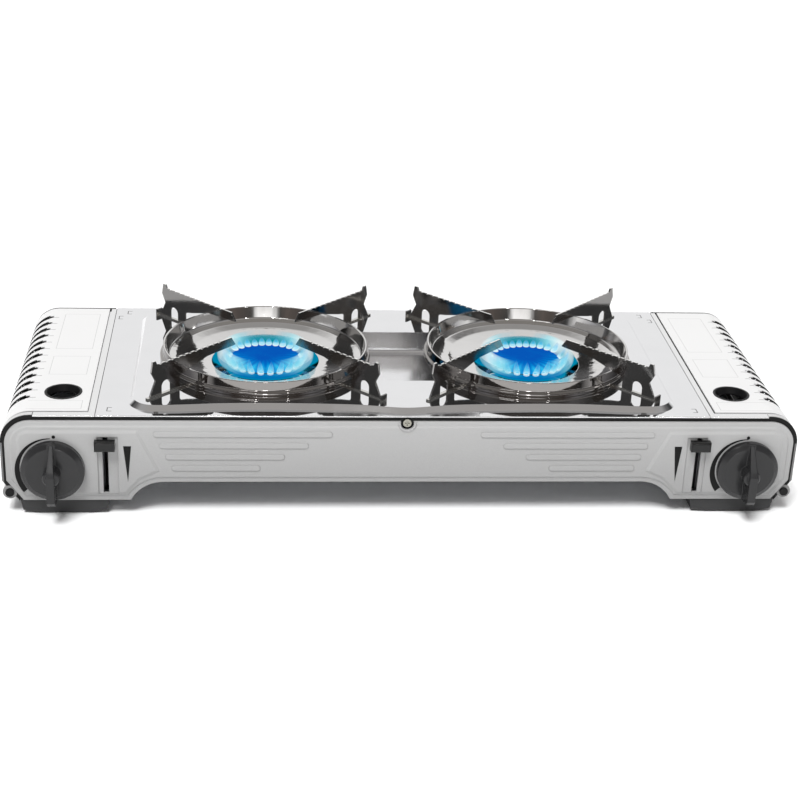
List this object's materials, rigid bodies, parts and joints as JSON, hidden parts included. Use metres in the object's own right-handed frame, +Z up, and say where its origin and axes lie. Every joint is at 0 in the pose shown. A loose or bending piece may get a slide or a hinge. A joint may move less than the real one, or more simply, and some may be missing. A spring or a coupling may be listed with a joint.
{
  "type": "camp stove",
  "caption": "Portable tabletop gas stove with open ring burners, lift-off pan supports, turning taps, sliding cartridge locks and hinged side lids.",
  "frame": {"origin": "middle of the stove's bounding footprint, on the ground plane under the feet", "axes": "+Z up, -Y towards the user (knob side), +X to the user's right, along the long side"},
  "size_m": [0.68, 0.282, 0.1274],
  "materials": {
    "panel_paint": "satin light grey paint",
    "lid_paint": "satin near-white paint",
    "bright_steel": "mirror-polished stainless steel",
    "bowl_steel": "polished stainless steel",
    "arm_chrome": "dark bright-plated steel",
    "black_moulding": "satin black",
    "knob_plastic": "soft-gloss charcoal",
    "foot_plastic": "matt charcoal",
    "black_print": "matt black print",
    "zinc_sheet": "zinc-plated sheet",
    "shield_steel": "bright sheet",
    "screw_steel": "plated",
    "regulator_casting": "die-cast",
    "pipe_steel": "drawn steel",
    "brass": "machined",
    "burner_casting": "cast",
    "burner_cap_metal": "heat-darkened",
    "ceramic": null,
    "igniter_plastic": "moulded",
    "lead_rubber": "silicone-insulated wire"
  },
  "bodies": {
    "body": {"base_tray": "zinc_sheet", "front_panel": "panel_paint", "rear_panel": "panel_paint", "end_frame_front": "black_moulding", "end_frame_rear": "black_moulding", "top_plate": "bright_steel", "rod_guides": "zinc_sheet", "dial_marks": "black_print", "panel_screws": "screw_steel", "feet": "foot_plastic", "lever_guides": "zinc_sheet", "burner_brackets": "zinc_sheet", "heat_shield_left": "shield_steel", "heat_shield_right": "shield_steel", "cartridge_cradle_left": "zinc_sheet", "cartridge_cradle_right": "zinc_sheet", "hinge_pin_left": "black_moulding", "hinge_pin_right": "black_moulding", "regulator_left": "regulator_casting", "regulator_right": "regulator_casting", "gas_pipe_left": "pipe_steel", "gas_pipe_right": "pipe_steel", "gas_jet_left": "brass", "gas_jet_right": "brass", "burner_body_left": "burner_casting", "burner_body_right": "burner_casting", "burner_cap_left": "burner_cap_metal", "burner_cap_right": "burner_cap_metal", "electrode_left": "ceramic", "electrode_right": "ceramic", "igniter_left": "igniter_plastic", "igniter_right": "igniter_plastic", "spark_lead_left": "lead_rubber", "spark_lead_right": "lead_rubber"},
    "lid_left": {"lid_left": "lid_paint", "lid_collar_left": "black_moulding"},
    "tap_left": {"knob_left": "knob_plastic", "spindle_left": "brass"},
    "lock_lever_left": {"lock_handle_left": "knob_plastic", "lock_slide_left": "pipe_steel"},
    "pusher_left": {"push_rod_left": "zinc_sheet"},
    "pan_support_left": {"drip_bowl_left": "bowl_steel", "pan_arm_left_1": "arm_chrome", "pan_arm_left_2": "arm_chrome", "pan_arm_left_3": "arm_chrome", "pan_arm_left_4": "arm_chrome"},
    "lid_right": {"lid_right": "lid_paint", "lid_collar_right": "black_moulding"},
    "tap_right": {"knob_right": "knob_plastic", "spindle_right": "brass"},
    "lock_lever_right": {"lock_handle_right": "knob_plastic", "lock_slide_right": "pipe_steel"},
    "pusher_right": {"push_rod_right": "zinc_sheet"},
    "pan_support_right": {"drip_bowl_right": "bowl_steel", "pan_arm_right_1": "arm_chrome", "pan_arm_right_2": "arm_chrome", "pan_arm_right_3": "arm_chrome", "pan_arm_right_4": "arm_chrome"}
  },
  "joints": [
    {"name": "lid_hinge_left", "type": "hinge", "parent": "body", "child": "lid_left", "pos_m": [-0.334, 0.015, 0.02], "axis": [0, -1, 0], "range_deg": [0, 95]},
    {"name": "tap_turn_left", "type": "hinge", "parent": "body", "child": "tap_left", "pos_m": [-0.2965, -0.12, 0.044], "axis": [0, -1, 0], "range_deg": [0, 131]},
    {"name": "lock_slide_left", "type": "slide", "parent": "body", "child": "lock_lever_left", "axis": [0, 0, -1], "range_m": [0, 0.04]},
    {"name": "pusher_slide_left", "type": "slide", "parent": "body", "child": "pusher_left", "axis": [0, -1, 0], "range_m": [0, 0.006]},
    {"name": "pan_support_lift_left", "type": "slide", "parent": "body", "child": "pan_support_left", "axis": [0, 0, 1], "range_m": [0, 0.06]},
    {"name": "lid_hinge_right", "type": "hinge", "parent": "body", "child": "lid_right", "pos_m": [0.334, 0.015, 0.02], "axis": [0, 1, 0], "range_deg": [0, 95]},
    {"name": "tap_turn_right", "type": "hinge", "parent": "body", "child": "tap_right", "pos_m": [0.2965, -0.12, 0.044], "axis": [0, -1, 0], "range_deg": [0, 131]},
    {"name": "lock_slide_right", "type": "slide", "parent": "body", "child": "lock_lever_right", "axis": [0, 0, -1], "range_m": [0, 0.04]},
    {"name": "pusher_slide_right", "type": "slide", "parent": "body", "child": "pusher_right", "axis": [0, -1, 0], "range_m": [0, 0.006]},
    {"name": "pan_support_lift_right", "type": "slide", "parent": "body", "child": "pan_support_right", "axis": [0, 0, 1], "range_m": [0, 0.06]}
  ],
  "couplings": [
    {"joint": "pusher_slide_left", "follows": "lock_slide_left", "ratio": 0.15},
    {"joint": "pusher_slide_right", "follows": "lock_slide_right", "ratio": 0.15}
  ]
}
